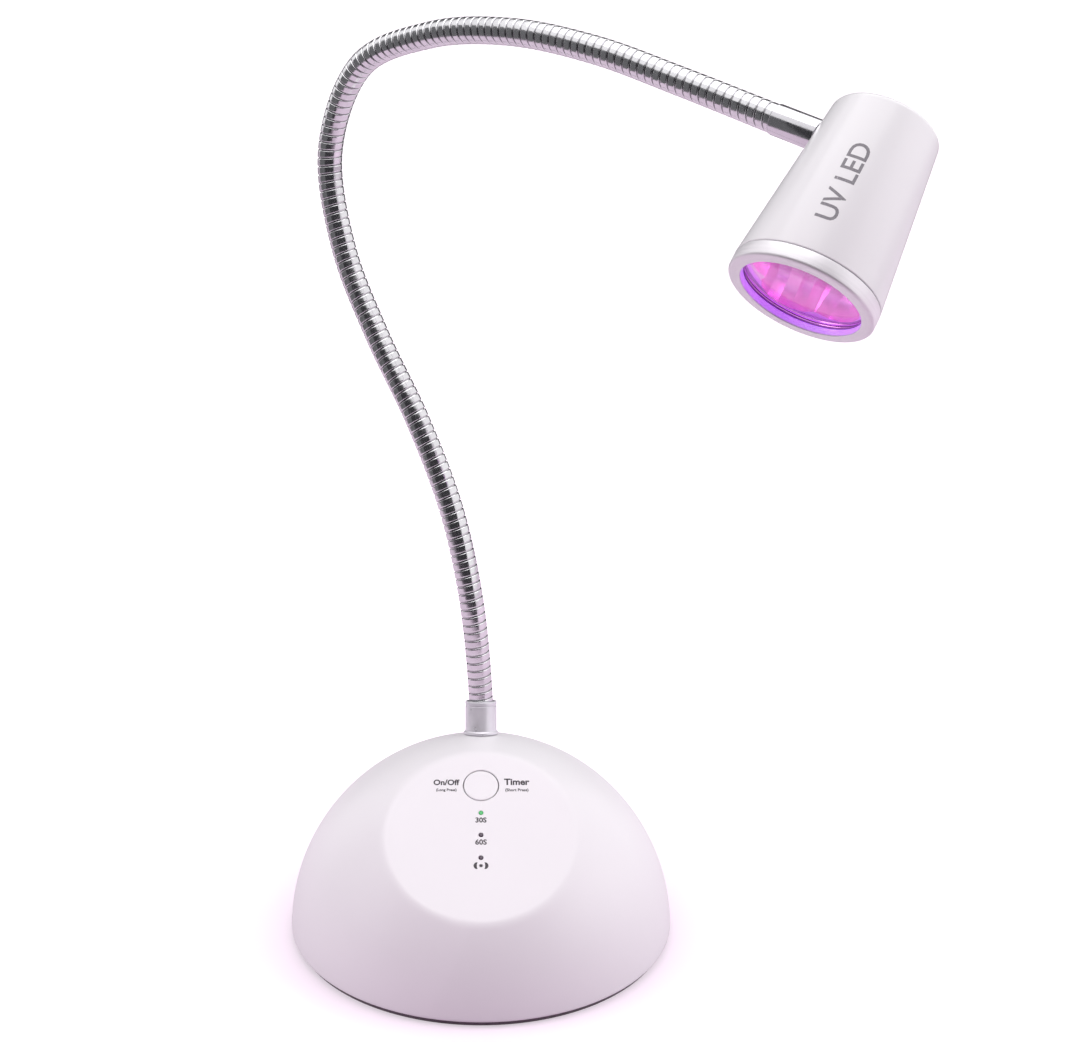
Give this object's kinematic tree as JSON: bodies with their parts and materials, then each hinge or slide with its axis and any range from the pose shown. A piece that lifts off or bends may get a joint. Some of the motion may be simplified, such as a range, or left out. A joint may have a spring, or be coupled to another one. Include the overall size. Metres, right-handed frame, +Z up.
{
  "type": "uv curing lamp",
  "caption": "Cordless UV curing lamp: weighted white dome base with a slanted control panel, chrome flexible gooseneck and a tapered round lamp head.",
  "frame": {"origin": "centre of the non-slip pad under the base, on the surface the lamp stands on", "axes": "+Z up; -Y towards the user, the side that the control panel faces; +X to the user's right"},
  "size_m": [0.1797, 0.1679, 0.2911],
  "materials": {
    "white_plastic": "satin moulded white plastic, very slightly warm lilac in shade",
    "white_paint": "satin white paint",
    "dark_plastic": "matt moulded black plastic",
    "pad_rubber": "matt non-slip rubber sheet",
    "ballast_iron": "raw cast",
    "zinc_steel": "bright zinc plate",
    "cell_wrap": "blue heat-shrink sleeve",
    "black_plastic": "moulded black plastic",
    "board_laminate": "green solder mask",
    "port_steel": "stamped plated steel",
    "chrome": "polished chrome plate",
    "neck_chrome": "chrome plated spiral-wound hose",
    "wire_jacket": "flexible black jacket",
    "bezel_metal": "satin anodised",
    "gasket_rubber": "soft black seal",
    "lens_glass": "clear polished",
    "reflector_mirror": "vacuum metallised",
    "led_board_aluminium": "white solder mask on metal core",
    "heat_sink_aluminium": "as turned",
    "uv_emitter": "domed silicone emitter",
    "light_green": "clear green light pipe",
    "light_dark": "smoked light pipe, unlit"
  },
  "bodies": {
    "base": {"base_shell": "white_plastic", "base_plate": "dark_plastic", "base_pad": "pad_rubber", "ballast_weight": "ballast_iron", "ballast_bolt": "zinc_steel", "base_screw_1": "zinc_steel", "base_screw_2": "zinc_steel", "base_screw_3": "zinc_steel", "base_screw_4": "zinc_steel", "battery_cell": "cell_wrap", "battery_holder": "black_plastic", "control_board": "board_laminate", "board_screw_1": "zinc_steel", "board_screw_2": "zinc_steel", "board_screw_3": "zinc_steel", "tact_switch": "black_plastic", "light_pipe_1": "light_green", "light_pipe_2": "light_dark", "light_pipe_3": "light_dark", "lead_connector": "black_plastic", "charge_board": "board_laminate", "usb_socket": "port_steel", "lower_ferrule": "chrome", "lower_washer": "zinc_steel", "lower_nut": "zinc_steel", "base_lead": "wire_jacket", "neck_tube_1": "neck_chrome"},
    "button": {"power_button": "white_plastic"},
    "neck_1": {"neck_tube_2": "neck_chrome", "neck_wire_1": "wire_jacket"},
    "neck_2": {"neck_tube_3": "neck_chrome", "neck_wire_2": "wire_jacket"},
    "neck_3": {"neck_tube_4": "neck_chrome", "neck_wire_3": "wire_jacket"},
    "neck_4": {"neck_tube_5": "neck_chrome", "neck_wire_4": "wire_jacket"},
    "neck_5": {"neck_tube_6": "neck_chrome", "neck_wire_5": "wire_jacket"},
    "neck_6": {"neck_tube_7": "neck_chrome", "neck_wire_6": "wire_jacket"},
    "neck_7": {"neck_tube_8": "neck_chrome", "neck_wire_7": "wire_jacket"},
    "head": {"neck_tube_9": "neck_chrome", "upper_ferrule": "chrome", "upper_nut": "zinc_steel", "head_shell": "white_paint", "bezel_ring": "bezel_metal", "lens_gasket": "gasket_rubber", "lens": "lens_glass", "reflector": "reflector_mirror", "uv_led_1": "uv_emitter", "uv_led_2": "uv_emitter", "uv_led_3": "uv_emitter", "uv_led_4": "uv_emitter", "led_board": "led_board_aluminium", "led_board_screw_1": "zinc_steel", "led_board_screw_2": "zinc_steel", "heat_sink": "heat_sink_aluminium", "head_lead": "wire_jacket"}
  },
  "joints": [
    {"name": "button_press", "type": "slide", "parent": "base", "child": "button", "axis": [0, 0.521, -0.8535], "range_m": [0, 0.0005], "stiffness_N_per_m": 600},
    {"name": "gooseneck_bend_1", "type": "hinge", "parent": "base", "child": "neck_1", "pos_m": [-0.00125, 0.02174, 0.08907], "axis": [0.6428, 0.766, 0], "range_deg": [-30, 30]},
    {"name": "gooseneck_sway_1", "type": "hinge", "parent": "neck_1", "child": "neck_2", "pos_m": [-0.0098, 0.02862, 0.13572], "axis": [-0.7102, 0.5959, -0.3747], "range_deg": [-30, 30]},
    {"name": "gooseneck_bend_2", "type": "hinge", "parent": "neck_2", "child": "neck_3", "pos_m": [-0.0281, 0.04398, 0.17733], "axis": [0.6428, 0.766, 0], "range_deg": [-30, 30]},
    {"name": "gooseneck_sway_2", "type": "hinge", "parent": "neck_3", "child": "neck_4", "pos_m": [-0.04588, 0.0589, 0.21924], "axis": [-0.7294, 0.612, -0.3058], "range_deg": [-30, 30]},
    {"name": "gooseneck_bend_3", "type": "hinge", "parent": "neck_4", "child": "neck_5", "pos_m": [-0.04391, 0.05725, 0.26546], "axis": [-0.6428, -0.766, 0], "range_deg": [-30, 30]},
    {"name": "gooseneck_sway_3", "type": "hinge", "parent": "neck_5", "child": "neck_6", "pos_m": [-0.01214, 0.03059, 0.28591], "axis": [-0.1109, 0.0931, 0.9895], "range_deg": [-30, 30]},
    {"name": "gooseneck_bend_4", "type": "hinge", "parent": "neck_6", "child": "neck_7", "pos_m": [0.02455, -0.0002, 0.28475], "axis": [0.6428, 0.766, 0], "range_deg": [-30, 30]},
    {"name": "gooseneck_sway_4", "type": "hinge", "parent": "neck_7", "child": "head", "pos_m": [0.06038, -0.03026, 0.27368], "axis": [0.2, -0.1678, 0.9653], "range_deg": [-30, 30]}
  ]
}
